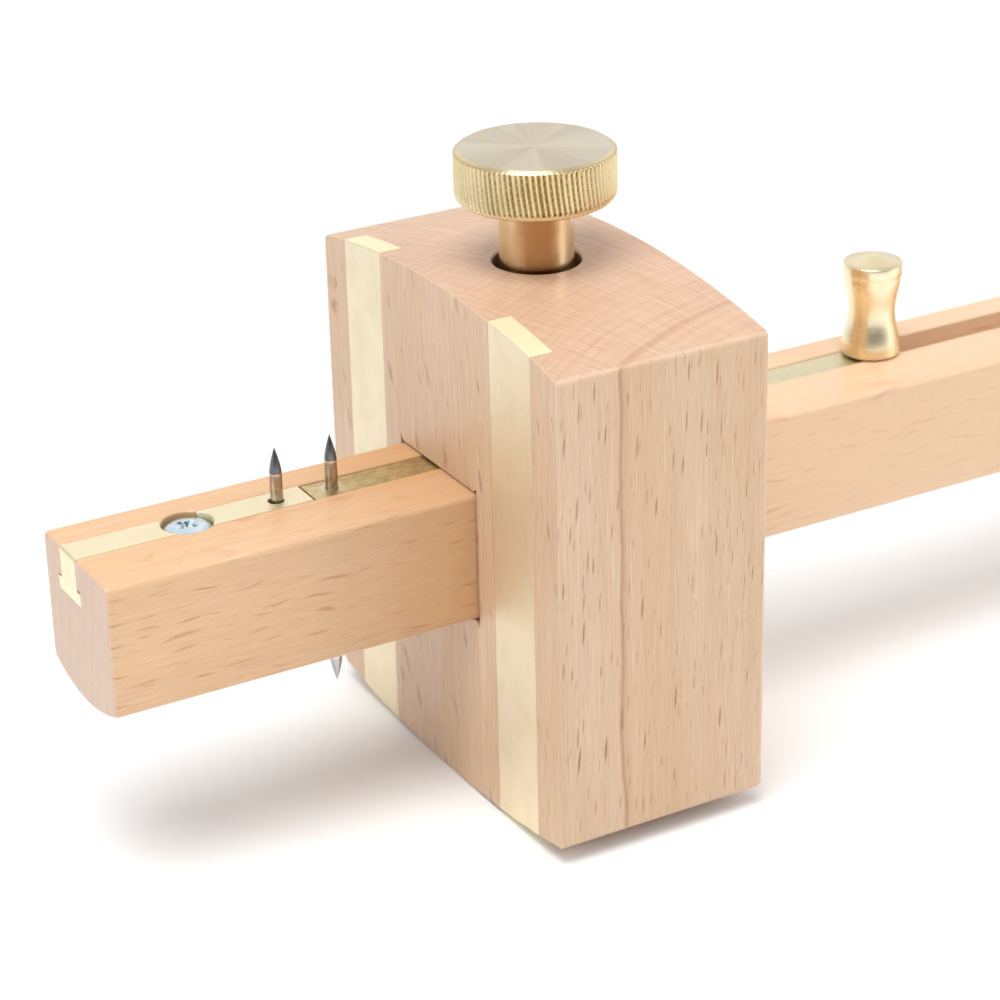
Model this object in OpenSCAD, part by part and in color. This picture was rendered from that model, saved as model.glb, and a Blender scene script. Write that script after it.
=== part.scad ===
// Combination mortise and marking gauge with a pull slide.
// Frame: millimetres. Origin where the stem's centre line crosses the fence face.
// +X runs along the stem from the fence towards the tail, +Z is up through the
// thumbscrew, +Y is across the stock.

/* [Stock] */
// Thickness of the stock along the stem
stock_t = 30; // [24:0.5:36]
// Width of the stock
stock_w = 60; // [52:1:68]
// Height of the stock over both crowns
stock_h = 68.8; // [62:0.2:76]
// Height of the stock's middle above the stem's centre line
stock_up = 0.5; // [-1:0.1:2]
// Rise of the crowned top over its side edges
top_crown = 3.0; // [1:0.1:5]
// Rise of the crowned bottom over its side edges
bottom_crown = 2.6; // [1:0.1:5]
// Play of the stem in its mortise, each side
mortise_play = 0.18; // [0.05:0.01:0.4]
// Height of the small split-out notch at each mortise corner
notch = 1.1; // [0.2:0.1:1.5]

/* [Wear strips] */
// Width of each brass wear strip
strip_w = 10; // [6:0.2:12]
// Depth of each wear strip into the stock
strip_t = 3.2; // [2:0.1:5]
// Distance of each strip's centre from the stock's middle
strip_y = 19; // [17:0.2:21]

/* [Stem] */
// Length of the stem
stem_len = 230; // [200:1:260]
// Width of the stem
stem_w = 19.5; // [18:0.1:22]
// Height of the stem at the middle of its crowned underside
stem_h = 19.4; // [18:0.1:22]
// Rise of the crowned underside
stem_crown = 2.2; // [0.5:0.1:3]
// How far the stem's working end stands out of the fence
stem_out = 49.6; // [46:0.1:60]

/* [Slide and inlay] */
// Width of the brass section at the stem's top face
web_w = 4.8; // [4:0.1:5.6]
// Height of the brass section
web_h = 6.0; // [5:0.1:6.6]
// Width of the foot of the inverted T
foot_w = 6.7; // [6:0.1:7.6]
// Height of the foot
foot_h = 1.7; // [1:0.1:2]
// Offset of the brass section from the stem's middle
slide_y = 2.1; // [0:0.1:3]
// Where the inlay ends and the slide begins
slide_x0 = -17.6; // [-18:0.1:-16.4]
// Length of the slide bar
slide_len = 90; // [70:1:110]

/* [Pins] */
// Diameter of the three scribing pins
pin_d = 1.6; // [1.2:0.1:2]
// Height of the two mortise pins above the stem
pin_out = 7.2; // [5:0.1:9]
// Length of the marking pin below the stem's underside
marking_out = 6.7; // [5:0.1:9]
// Position of the fixed mortise pin
fixed_pin_x = -21.6; // [-24:0.1:-20]
// Position of the moving mortise pin
moving_pin_x = -14.0; // [-15:0.1:-12]
// Position of the single marking pin under the stem
marking_pin_x = -15.6; // [-20:0.1:-15]

/* [Thumbscrew] */
// Diameter of the knurled head
head_d = 20.4; // [18:0.2:24]
// Height of the knurled head
head_h = 6.6; // [5:0.1:9]
// Number of knurl teeth
knurl_n = 90; // [60:2:100]
// Diameter of the plain shank
shank_d = 9.5; // [9:0.1:10.4]
// Diameter of the thread
thread_d = 8.0; // [6:0.5:8.5]
// Pitch of the thread
thread_p = 1.25; // [1:0.05:1.5]
// Diameter of the hole through the top of the stock
screw_hole_d = 11.2; // [10.8:0.1:12]
// Gap between the head's underside and the stock when clamped
head_gap = 8.1; // [7:0.1:12]

/* [Pull knob] */
// Position of the pull knob
knob_x = 68.8; // [66:0.1:70]
// Largest diameter of the pull knob
knob_d = 8.1; // [7:0.1:10]
// Height of the pull knob over the stem
knob_h = 14.3; // [11:0.1:17]

/* [Hidden] */
eps = 0.01;
over = 1;                        // how far a cut runs past a face

// Radius of an arc that rises by a crown over a half width
function crown_radius(half, rise) = (half * half + rise * rise) / (2 * rise);

// Stock and stem levels
stock_half = stock_w / 2;
top_z = stock_up + stock_h / 2;
bot_z = stock_up - stock_h / 2;
top_r = crown_radius(stock_half, top_crown);
bot_r = crown_radius(stock_half, bottom_crown);
stem_half = stem_w / 2;
stem_top = stem_h / 2;
stem_bot = -stem_h / 2;
stem_r = crown_radius(stem_half, stem_crown);
stem_x0 = -stem_out;

// T slot and the brass section in it
slot_z0 = stem_top - web_h;      // floor of the slot
side_play = 0.05;                // each side of the brass
foot_room = 0.3;                 // the slot's undercut is taller than the foot
slide_drop = 0.15;               // the slide's top lies below the stem's face
slide_gap = 0.3;                 // between the inlay and the closed slide

// Inlay screw
inlay_screw_x = -33.8;
bore_d = 6.6;                    // counterbore for the head
bore_depth = 2.5;
inlay_thread_d = 3.0;
inlay_screw_len = 12;            // below the head

// Pins
pin_tip = 3.5;                   // length of the point
pin_hole_d = pin_d + 0.02;
pin_end_gap = 0.1;               // beyond the buried end of a pin in the stem
fixed_pin_z0 = pin_end_gap;      // its hole starts at the centre line
marking_buried = 9.4;
moving_hole_z0 = slot_z0 + 0.5;
moving_pin_z0 = moving_hole_z0 + 0.05;

// Pull knob's spigot
spigot_d = 3.5;
spigot_hole_d = spigot_d + 0.04;

// Thumbscrew stack, from the stem upwards
screw_x = stock_t / 2;
pad_z0 = stem_top + 0.03;
pad_t = 2.5;
tip_z = pad_z0 + pad_t + 0.02;
bush_z0 = 20.6;
bush_h = 8.2;
shank_z0 = bush_z0 + bush_h + 0.8;
head_z0 = top_z + head_gap;

// Colours shared by two pieces
turned_brass = [0.80, 0.66, 0.36];
dark_steel = [0.45, 0.43, 0.41];

// Round rod along +X, its axis at height z
module rod_along_x(radius, x0, len, z)
    translate([x0, 0, z]) rotate([0, 90, 0]) cylinder(r = radius, h = len);

// The stem's section, with a flat top and crowned underside, grown by a play
module stem_section(x0, len, play = 0) intersection() {
    translate([x0, -stem_half - play, stem_bot - play])
        cube([len, stem_w + 2 * play, stem_h + 2 * play]);
    rod_along_x(stem_r + play, x0 - over, len + 2 * over, stem_bot + stem_r, $fn = 200);
}

// Inverted T along +X, its foot at height z0
module inverted_tee(x0, len, z0, web_height, foot_height, play = 0)
    for (size = [[web_w, web_height], [foot_w, foot_height]])
        translate([x0, slide_y - size[0] / 2 - play, z0])
            cube([len, size[0] + 2 * play, size[1]]);

module brass_tee(x0, len, drop)
    inverted_tee(x0, len, slot_z0 + eps, web_h - drop - eps, foot_h);

// Round pin with an ogive point, standing on z = 0 and pointing up
module scribing_pin(below, above) {
    radius = pin_d / 2;
    chamfer = 0.15;
    swell = 0.015;               // added to the radius along the point
    steps = 10;
    rotate_extrude($fn = 64) polygon(concat(
        [[0, -below], [radius - chamfer, -below], [radius, -below + chamfer]],
        [for (i = [0 : steps]) let (t = i / steps)
            [radius * (1 - pow(t, 1.5)) + (i == steps ? 0 : swell),
             above - pin_tip + pin_tip * t]]));
}

// Upright drilling for a pin
module pin_hole(x, y, z0, depth)
    translate([x, y, z0]) cylinder(d = pin_hole_d, h = depth, $fn = 48);

// Recess in the top face around the inlay screw's head
module head_counterbore()
    translate([inlay_screw_x, slide_y, stem_top - bore_depth])
        cylinder(d = bore_d, h = bore_depth + over, $fn = 96);

// Ring-cut stand-in for a screw thread, from z = 0 to z = len
module ringed_thread(diameter, pitch, depth, len) {
    crest = diameter / 2;
    root = crest - depth;
    // One ring: radius, height as a share of the pitch
    ring = [[root, 0.06], [crest, 0.44], [crest, 0.56], [root, 0.94]];
    rotate_extrude($fn = 96) polygon(concat(
        [[0, 0]],
        [for (i = [0 : floor(len / pitch) - 1], point = ring)
            [point[0], (i + point[1]) * pitch]],
        [[root, len], [0, len]]));
}

// The crowned top and bottom, as the inside of two large cylinders along X
module crowned() intersection() {
    rod_along_x(top_r, -over, stock_t + 2 * over, top_z - top_r, $fn = 240);
    rod_along_x(bot_r, -over, stock_t + 2 * over, bot_z + bot_r, $fn = 240);
}

// Split-out notches at the upper and lower mortise corner on the +Y side
module corner_notches() {
    side = stem_half + mortise_play;
    roof = stem_top + mortise_play;
    floor_edge = stem_bot + stem_crown - mortise_play;
    translate([-over, 0, 0]) rotate([90, 0, 90]) linear_extrude(height = stock_t + 2 * over) {
        polygon([[side - 1, roof - 0.2], [side - 1, roof],
                 [side - 0.25, roof + 0.55 * notch],
                 [side, roof + notch], [side, roof - 0.2]]);
        polygon([[side - 0.9, floor_edge + 0.6], [side - 0.9, floor_edge - 0.35],
                 [side - 0.35, floor_edge - 0.75 * notch],
                 [side, floor_edge - notch - 0.2], [side, floor_edge + 0.6]]);
    }
}

module stock() color([0.87, 0.70, 0.55]) difference() {
    intersection() {
        translate([0, -stock_half, bot_z]) cube([stock_t, stock_w, stock_h]);
        crowned();
    }
    // mortise
    stem_section(-over, stock_t + 2 * over, mortise_play);
    for (flip = [0, 1]) mirror([0, flip, 0]) corner_notches();
    // grooves for the wear strips
    for (side = [-1, 1])
        translate([-over, side * strip_y - strip_w / 2, bot_z - over])
            cube([strip_t + over, strip_w, stock_h + 2 * over]);
    // hole for the thumbscrew, its bush and the pad
    translate([screw_x, 0, 0]) cylinder(d = screw_hole_d, h = top_z + 2 * over, $fn = 96);
}

// Strip let into the fence face, on the -Y side (-1) or the +Y side (1)
module wear_strip(side) color([0.86, 0.74, 0.45]) intersection() {
    translate([0, side * strip_y - strip_w / 2 + eps, bot_z])
        cube([strip_t - eps, strip_w - 2 * eps, stock_h]);
    crowned();
}

// Barbed brass bush pressed into the thumbscrew hole
module thread_bush() color(turned_brass) translate([screw_x, 0, bush_z0]) difference() {
    radius = screw_hole_d / 2 - 0.02;
    groove_r = radius - 0.3;     // between the barbs
    barb_pitch = 1.5;
    bore = thread_d + 0.1;
    sink = 0.6;                  // countersink depth
    // One barb: radius, height above its start
    barb = [[radius, 0.5], [radius, 0.9], [groove_r, 1.1], [groove_r, 1.6]];
    rotate_extrude($fn = 96) polygon(concat(
        [[0, 0], [radius - 0.5, 0]],
        [for (i = [0 : 4], point = barb) [point[0], point[1] + i * barb_pitch]],
        [[radius, bush_h - 0.2], [radius - 0.2, bush_h], [0, bush_h]]));
    translate([0, 0, -over]) cylinder(d = bore, h = bush_h + 2 * over, $fn = 96);
    translate([0, 0, bush_h - sink])
        cylinder(d1 = bore, d2 = thread_d + 1.4, h = sink + eps, $fn = 96);
}

// Loose pad that keeps the screw's end off the brass slide
module thrust_pad() color(turned_brass) translate([screw_x, 0, pad_z0]) {
    radius = 5.4;
    chamfer = 0.3;
    dimple = 0.6;                // depth of the recess in the top
    rotate_extrude($fn = 96)
        polygon([[0, 0], [radius - chamfer, 0], [radius, chamfer],
                 [radius, pad_t - chamfer], [radius - chamfer, pad_t],
                 [2.6, pad_t], [2.2, pad_t - dimple], [0, pad_t - dimple]]);
}

// Toothed band, from z = 0 to z = height
module knurled_band(radius, depth, teeth, height)
    linear_extrude(height = height)
        polygon([for (i = [0 : 2 * teeth - 1])
            let (angle = i * 180 / teeth, reach = i % 2 == 0 ? radius : radius - depth)
            [reach * cos(angle), reach * sin(angle)]]);

module thumbscrew() color([0.83, 0.70, 0.40]) translate([screw_x, 0, 0]) {
    head_r = head_d / 2;
    core_r = head_r - 0.5;       // head inside the knurled band
    band_inset = 0.6;            // from each face of the head
    shank_r = shank_d / 2;
    shank_h = head_z0 - shank_z0 + 1;
    thread_depth = 0.7;
    root_r = thread_d / 2 - thread_depth;
    lead_h = 0.8;                // taper at the thread's end
    spigot_h = 0.5;

    // end spigot that turns in the pad's dimple
    translate([0, 0, tip_z - spigot_h])
        cylinder(r1 = 1.6, r2 = 2.0, h = spigot_h + eps, $fn = 64);
    translate([0, 0, tip_z]) cylinder(r1 = root_r - 0.2, r2 = root_r, h = lead_h, $fn = 96);
    translate([0, 0, tip_z + lead_h - eps])
        ringed_thread(thread_d, thread_p, thread_depth, shank_z0 - tip_z - 2 * lead_h);
    // neck between the thread and the shank
    translate([0, 0, shank_z0 - 0.9]) cylinder(d = 2 * root_r, h = 1.0, $fn = 96);
    translate([0, 0, shank_z0]) rotate_extrude($fn = 128)
        polygon([[0, 0], [shank_r - 0.5, 0], [shank_r, 0.5], [shank_r, shank_h], [0, shank_h]]);
    translate([0, 0, head_z0]) {
        rotate_extrude($fn = 128)
            polygon([[0, 0], [core_r - 0.4, 0], [core_r, 0.5], [core_r, head_h - 0.5],
                     [core_r - 0.4, head_h], [0, head_h]]);
        translate([0, 0, band_inset])
            knurled_band(head_r, 0.35, knurl_n, head_h - 2 * band_inset);
    }
}

module stem() color([0.88, 0.70, 0.52]) difference() {
    stem_section(stem_x0, stem_len);
    // T slot, cut the whole length from end to end
    inverted_tee(stem_x0 - over, stem_len + 2 * over, slot_z0,
                 web_h + over, foot_h + foot_room, side_play);
    // counterbore and hole for the inlay's screw
    head_counterbore();
    hole_len = inlay_screw_len + 0.2;
    translate([inlay_screw_x, slide_y, stem_top - bore_depth - hole_len])
        cylinder(d = inlay_thread_d + 0.04, h = hole_len, $fn = 64);
    pin_hole(fixed_pin_x, slide_y, fixed_pin_z0 - pin_end_gap, slot_z0 + over);
    pin_hole(marking_pin_x, 0, stem_bot - over, over + marking_buried + pin_end_gap);
}

// Brass tee fixed in the slot at the working end
module end_inlay() color([0.86, 0.76, 0.46]) difference() {
    sink = 0.8;                  // countersink depth around the pin
    brass_tee(stem_x0, slide_x0 - stem_x0, 0);
    head_counterbore();
    translate([inlay_screw_x, slide_y, slot_z0 - over])
        cylinder(d = inlay_thread_d + 0.3, h = web_h, $fn = 64);
    pin_hole(fixed_pin_x, slide_y, slot_z0 - over, web_h + 2 * over);
    translate([fixed_pin_x, slide_y, stem_top - sink])
        cylinder(d1 = pin_hole_d, d2 = pin_d + 0.7, h = sink + eps, $fn = 48);
}

// Zinc-plated cross-head screw that holds the inlay down
module inlay_screw() color([0.70, 0.74, 0.78])
    translate([inlay_screw_x, slide_y, stem_top - bore_depth + eps]) difference() {
        radius = 6.1 / 2;        // head
        side_h = 1.45;           // head's straight side
        dome_h = 0.8;
        dome_steps = 8;
        thread_depth = 0.42;
        point_h = 2.2;
        cross_len = 3.3;
        cross_w = 0.68;
        union() {
            rotate_extrude($fn = 96) polygon(concat(
                [[0, 0], [radius - 0.2, 0], [radius, 0.2]],
                [for (i = [0 : dome_steps]) let (angle = i * 90 / dome_steps)
                    [radius * cos(angle), side_h + dome_h * sin(angle)]]));
            // plain core under the head, then the thread and the point
            translate([0, 0, -6]) cylinder(d = 2.3, h = 6.2, $fn = 64);
            translate([0, 0, -inlay_screw_len + point_h])
                ringed_thread(inlay_thread_d, 1.1, thread_depth, inlay_screw_len - 2.6);
            translate([0, 0, -inlay_screw_len])
                cylinder(r1 = 0.2, r2 = inlay_thread_d / 2 - thread_depth,
                         h = point_h + eps, $fn = 64);
        }
        // cross recess
        for (angle = [45, 135]) rotate([0, 0, angle])
            translate([-cross_len / 2, -cross_w / 2, 1.05]) cube([cross_len, cross_w, 3]);
        translate([0, 0, 0.7]) cylinder(r1 = 0.35, r2 = 0.85, h = 1.8, $fn = 32);
    }

module fixed_pin() color(dark_steel)
    translate([fixed_pin_x, slide_y, stem_top])
        scribing_pin(stem_top - fixed_pin_z0, pin_out);

module slide_bar() color([0.72, 0.64, 0.40]) difference() {
    brass_tee(slide_x0 + slide_gap, slide_len, slide_drop);
    pin_hole(moving_pin_x, slide_y, moving_hole_z0, web_h);
    translate([knob_x, slide_y, slot_z0 - over])
        cylinder(d = spigot_hole_d, h = web_h + 2 * over, $fn = 64);
}

module moving_pin() color(dark_steel)
    translate([moving_pin_x, slide_y, stem_top])
        scribing_pin(stem_top - moving_pin_z0, pin_out);

// Turned brass pull knob with a screwed spigot
module pull_knob() color([0.84, 0.70, 0.38]) translate([knob_x, slide_y, stem_top]) {
    radius = knob_d / 2;
    foot_r = radius - 0.02;
    waist_r = radius * 0.795;
    base_z = 0.12;
    waist_z0 = base_z + 1.2;
    waist_z1 = knob_h - 3.1;
    steps = 20;
    rotate_extrude($fn = 96) polygon(concat(
        [[0, base_z], [radius - 0.25, base_z], [foot_r, base_z + 0.3], [foot_r, waist_z0]],
        [for (i = [1 : steps - 1]) let (t = i / steps)
            [foot_r - (radius - waist_r) * pow(sin(180 * t), 1.6),
             waist_z0 + t * (waist_z1 - waist_z0)]],
        [[radius, knob_h - 3.0], [radius, knob_h - 1.1], [radius - 0.15, knob_h - 0.95],
         [0.6, knob_h], [0, knob_h]]));
    translate([0, 0, 0.3 - web_h]) cylinder(d = spigot_d, h = web_h - 0.1, $fn = 64);
}

module marking_pin() color([0.55, 0.55, 0.55])
    translate([marking_pin_x, 0, stem_bot]) mirror([0, 0, 1])
        scribing_pin(marking_buried, marking_out);

stock();
wear_strip(-1);  // wear_strip_near
wear_strip(1);  // wear_strip_far
thread_bush();
thrust_pad();
thumbscrew();
stem();
end_inlay();
inlay_screw();
fixed_pin();
slide_bar();
moving_pin();
pull_knob();
marking_pin();
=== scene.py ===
"""A combination mortise and marking gauge in beech and brass.

The stem lies along X. The stock is an upright block on it, from x = 0 towards +X, and stands
on the floor. The brass thumbscrew goes down into the stock from +Z. The end inlay and both
upward pins are at the stem's -X end, and the slide bar's pull knob is near its +X end.
Meshes are worked out in millimetres and brought to metres when they are finished.
"""
import bpy
import bmesh
import math
import random
from mathutils import Matrix, Vector


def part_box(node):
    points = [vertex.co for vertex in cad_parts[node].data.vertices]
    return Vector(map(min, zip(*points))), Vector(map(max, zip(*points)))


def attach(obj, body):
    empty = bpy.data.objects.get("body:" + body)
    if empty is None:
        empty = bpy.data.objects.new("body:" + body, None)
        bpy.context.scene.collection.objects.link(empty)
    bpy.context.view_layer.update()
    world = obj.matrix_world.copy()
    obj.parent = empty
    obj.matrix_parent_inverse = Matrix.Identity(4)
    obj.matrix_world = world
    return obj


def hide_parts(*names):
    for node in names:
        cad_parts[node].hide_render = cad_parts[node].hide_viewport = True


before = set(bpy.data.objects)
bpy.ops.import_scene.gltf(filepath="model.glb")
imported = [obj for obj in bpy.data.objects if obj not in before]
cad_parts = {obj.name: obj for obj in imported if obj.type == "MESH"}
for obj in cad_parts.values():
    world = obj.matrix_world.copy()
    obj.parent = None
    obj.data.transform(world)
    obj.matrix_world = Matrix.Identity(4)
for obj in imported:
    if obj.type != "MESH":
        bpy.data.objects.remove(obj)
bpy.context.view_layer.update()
scene = bpy.context.scene
draws = random.Random(11)

MM = 1000.0                             # millimetres in a metre

# Upright axes, as (x, y)
SLIDE_Y = 2.1                           # middle of the stem's brass-filled channel
THUMB_AXIS = (15.0, 0.0)
INLAY_SCREW_AXIS = (-33.8, SLIDE_Y)
FIXED_PIN_AXIS = (-21.6, SLIDE_Y)
MOVING_PIN_AXIS = (-14.0, SLIDE_Y)
MARKING_PIN_AXIS = (-15.6, 0.0)
KNOB_AXIS = (68.8, SLIDE_Y)

# Sizes that both the meshes and the materials use
STEM_TOP = 9.7
THUMB_HOLE_R = 5.6
HEAD_BORE_R = 3.3                       # the bore that takes the inlay screw's head
THUMB_R = 10.2


def mm_box(node):
    low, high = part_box(node)
    return low * MM, high * MM


# ---------------------------------------------------------------- mesh tools
def mesh_object(name, verts, faces):
    mesh = bpy.data.meshes.new(name)
    mesh.from_pydata([tuple(v) for v in verts], [], faces)
    part = bpy.data.objects.new(name, mesh)
    scene.collection.objects.link(part)
    bm = bmesh.new()
    bm.from_mesh(mesh)
    bmesh.ops.recalc_face_normals(bm, faces=bm.faces)
    bm.to_mesh(mesh)
    bm.free()
    return part


def loft(name, loops):
    """A closed solid through loops of the same number of points."""
    count = len(loops[0])
    verts = [point for loop in loops for point in loop]
    faces = []
    for i in range(len(loops) - 1):
        here, there = i * count, (i + 1) * count
        for j in range(count):
            k = (j + 1) % count
            faces.append((here + j, here + k, there + k, there + j))
    faces.append(tuple(range(count - 1, -1, -1)))
    faces.append(tuple((len(loops) - 1) * count + j for j in range(count)))
    return mesh_object(name, verts, faces)


def lathe(name, profile, segments, axis, reshape=None):
    """A solid of revolution round an upright axis. The profile runs pole to pole as (r, z)."""
    verts, rings = [], []
    for r, z in profile:
        if r < 1e-9:
            rings.append([len(verts)])
            verts.append((axis[0], axis[1], z))
            continue
        ring = []
        for j in range(segments):
            angle = 2 * math.pi * j / segments
            reach = reshape(angle, r, z) if reshape else r
            ring.append(len(verts))
            verts.append((axis[0] + reach * math.cos(angle), axis[1] + reach * math.sin(angle), z))
        rings.append(ring)
    faces = []
    for low, high in zip(rings, rings[1:]):
        for j in range(segments):
            k = (j + 1) % segments
            if len(low) == 1:
                faces.append((low[0], high[k], high[j]))
            elif len(high) == 1:
                faces.append((low[j], low[k], high[0]))
            else:
                faces.append((low[j], low[k], high[k], high[j]))
    return mesh_object(name, verts, faces)


def drill(name, wall, segments, axis):
    """A round cutter with flat ends; its wall is listed upwards as (r, z)."""
    return lathe(name, [(0, wall[0][1]), *wall, (0, wall[-1][1])], segments, axis)


def prism_x(name, outline, x0, x1):
    """A YZ outline drawn along X."""
    return loft(name, [[(x, y, z) for y, z in outline] for x in (x0, x1)])


def cut(part, *cutters):
    for cutter in cutters:
        boolean = part.modifiers.new("cut", "BOOLEAN")
        boolean.operation, boolean.solver, boolean.object = "DIFFERENCE", "EXACT", cutter
        graph = bpy.context.evaluated_depsgraph_get()
        mesh = bpy.data.meshes.new_from_object(part.evaluated_get(graph))
        part.modifiers.clear()
        old, part.data = part.data, mesh
        bpy.data.meshes.remove(old)
        bpy.data.objects.remove(cutter)
    bm = bmesh.new()
    bm.from_mesh(part.data)
    bmesh.ops.remove_doubles(bm, verts=bm.verts, dist=1e-4)
    bmesh.ops.dissolve_degenerate(bm, edges=bm.edges, dist=1e-4)
    bm.to_mesh(part.data)
    bm.free()


def finish_part(part, material, body, node, angle=30):
    """Brings a mesh to metres, shades it, parents it to its body and hides the CAD part it stands
    for.
    """
    mesh = part.data
    bm = bmesh.new()
    bm.from_mesh(mesh)
    rims = [e for e in bm.edges if e.is_boundary]
    if rims:
        # a cut can drop a sliver of a bore's wall; close it again
        bmesh.ops.holes_fill(bm, edges=rims, sides=8)
        bmesh.ops.recalc_face_normals(bm, faces=bm.faces)
        bm.to_mesh(mesh)
    bm.free()
    mesh.transform(Matrix.Scale(1 / MM, 4))
    mesh.polygons.foreach_set("use_smooth", [True] * len(mesh.polygons))
    mesh.set_sharp_from_angle(angle=math.radians(angle))
    mesh.materials.clear()
    mesh.materials.append(material)
    normals = part.modifiers.new("even_normals", "WEIGHTED_NORMAL")
    normals.keep_sharp = True
    normals.weight = 80
    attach(part, body)
    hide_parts(node)


# ------------------------------------------------------------ material tools
def plug(socket, value):
    """Links a field to an input, or sets the input's value. None leaves it alone."""
    if isinstance(value, Field):
        value.tree.links.new(value.socket, socket)
    elif value is not None:
        socket.default_value = (*value, 1.0) if socket.type == "RGBA" else value


def add_node(tree, kind, inputs, **settings):
    made = tree.nodes.new(kind)
    for key, value in settings.items():
        setattr(made, key, value)
    for key, value in inputs.items():
        plug(made.inputs[key], value)
    return made


class Field:
    """An output socket with arithmetic: every operation adds one node to its tree."""

    def __init__(self, tree, socket):
        self.tree, self.socket = tree, socket

    def node(self, kind, inputs, output=0, **settings):
        return Field(self.tree, add_node(self.tree, kind, inputs, **settings).outputs[output])

    def combine(self, operation, left, right):
        scalar = self.socket.type == "VALUE"
        kind = "ShaderNodeMath" if scalar else "ShaderNodeVectorMath"
        return self.node(kind, {0: left, 1: right}, operation=operation)

    def __add__(self, other):
        return self.combine("ADD", self, other)

    def __radd__(self, other):
        return self.combine("ADD", other, self)

    def __sub__(self, other):
        return self.combine("SUBTRACT", self, other)

    def __rsub__(self, other):
        return self.combine("SUBTRACT", other, self)

    def __mul__(self, other):
        return self.combine("MULTIPLY", self, other)

    def __truediv__(self, other):
        return self.combine("DIVIDE", self, other)

    def __abs__(self):
        return self.math("ABSOLUTE")

    def math(self, operation, other=None, clamp=False):
        return self.node("ShaderNodeMath", {0: self, 1: other}, operation=operation,
                         use_clamp=clamp)

    def vector(self, operation, other=None, output="Vector"):
        return self.node("ShaderNodeVectorMath", {0: self, 1: other}, output, operation=operation)

    def scaled(self, amount):
        return self.node("ShaderNodeVectorMath", {0: self, "Scale": amount}, operation="SCALE")

    def length(self):
        return self.vector("LENGTH", output="Value")

    def split(self):
        made = add_node(self.tree, "ShaderNodeSeparateXYZ", {0: self})
        return [Field(self.tree, socket) for socket in made.outputs]

    def noise(self, scale=1.0, detail=3.0, rough=0.55, distortion=0.0, output=0):
        inputs = {"Vector": self, "Scale": scale, "Detail": detail, "Roughness": rough,
                  "Distortion": distortion}
        return self.node("ShaderNodeTexNoise", inputs, output, noise_dimensions="3D")

    def rise(self, start, end, low=0.0, high=1.0):
        """A smooth step from low at start to high at end."""
        return self.node("ShaderNodeMapRange", {0: self, 1: start, 2: end, 3: low, 4: high},
                         interpolation_type="SMOOTHSTEP", clamp=True)

    def fall(self, start, end):
        return self.rise(start, end, 1.0, 0.0)

    def bump(self, distance, strength, normal=None):
        """The normal that this height gives; the distance is in millimetres."""
        inputs = {"Height": self, "Distance": distance / MM, "Strength": strength,
                  "Normal": normal}
        return self.node("ShaderNodeBump", inputs)


def join(x, y, z):
    return x.node("ShaderNodeCombineXYZ", {0: x, 1: y, 2: z})


class Look:
    """A material under construction, with its colour built up coat by coat."""

    def __init__(self, name, colour):
        self.material = bpy.data.materials.new(name)
        self.material.use_nodes = True
        tree = self.material.node_tree
        tree.nodes.clear()
        output = tree.nodes.new("ShaderNodeOutputMaterial")
        self.shader = tree.nodes.new("ShaderNodeBsdfPrincipled")
        tree.links.new(self.shader.outputs[0], output.inputs[0])
        places = tree.nodes.new("ShaderNodeTexCoord")
        self.normal = Field(tree, places.outputs["Normal"])
        self.point = Field(tree, places.outputs["Object"]).scaled(MM)      # millimetres
        self.colour = colour

    def paint(self, colour, amount):
        self.colour = amount.node("ShaderNodeMix", {0: amount, 6: self.colour, 7: colour}, 2,
                                  data_type="RGBA", blend_type="MIX", clamp_factor=True)

    def centre_on(self, axis):
        """Sets up coordinates round an upright axis."""
        x, y, self.z = self.point.split()
        self.across, self.depth = x - axis[0], y - axis[1]
        self.angle = self.across.math("ARCTAN2", self.depth)

    def from_axis(self, axis):
        """Distance from an upright axis."""
        return ((self.point - (*axis, 0.0)) * (1.0, 1.0, 0.0)).length()

    def finish(self, **inputs):
        """Sets shader inputs, named with _ for a space, and hands back the material."""
        plug(self.shader.inputs["Base Color"], self.colour)
        for name, value in inputs.items():
            plug(self.shader.inputs[name.replace("_", " ")], value)
        return self.material


def srgb(*levels):
    """Linear colour from 0-255 sRGB levels."""
    return tuple((v / 255 / 12.92) if v / 255 <= 0.04045 else ((v / 255 + 0.055) / 1.055) ** 2.4
                 for v in levels)


def shade(colour, factor):
    return tuple(min(1, c * factor) for c in colour)


# --------------------------------------------------------------------- beech
def lay_grain(look, upright, pith, wander, lean):
    """Coordinates (radius, around, length) about a pith line, and a copy that strays."""
    x, y, look.z = look.point.split()
    length, across, depth = (look.z, x, y) if upright else (x, y, look.z)
    warp = join(across * 0.04, depth * 0.04, length * 0.012)
    warp_across, warp_depth, _ = warp.noise(detail=2.0, rough=0.5, output="Color").split()
    warp_size = 2.2
    across = across - pith[0] + (warp_across - 0.5) * warp_size
    depth = depth - pith[1] + (warp_depth - 0.5) * warp_size
    look.length = length
    look.radius = (across * across + depth * depth).math("SQRT")
    around = across.math("ARCTAN2", depth) * 80.0
    look.grain = join(look.radius, around, length)
    # fibres wander a little round each other
    wobble = (look.grain * (0.05, 0.35, wander[1])).noise(detail=1.0, rough=0.5)
    strayed = around + (wobble - 0.5) * wander[0] - length * lean
    look.stray_grain = join(look.radius, strayed, length)
    # how squarely the face lies across the radius, and whether it is end grain or an edge
    normals = look.normal.split()
    facing_across, facing_depth = normals[:2] if upright else normals[1:]
    look.flat = abs(facing_across * across + facing_depth * depth) / look.radius
    look.flat = look.flat.rise(0.25, 0.85, low=0.48, high=1.0)
    size_x, size_y, size_z = (abs(n) for n in normals)
    look.end = (size_z if upright else size_x).rise(0.6, 0.92)
    look.edge = size_x.math("MAXIMUM", size_y.math("MAXIMUM", size_z)).fall(0.74, 0.95)


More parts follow.
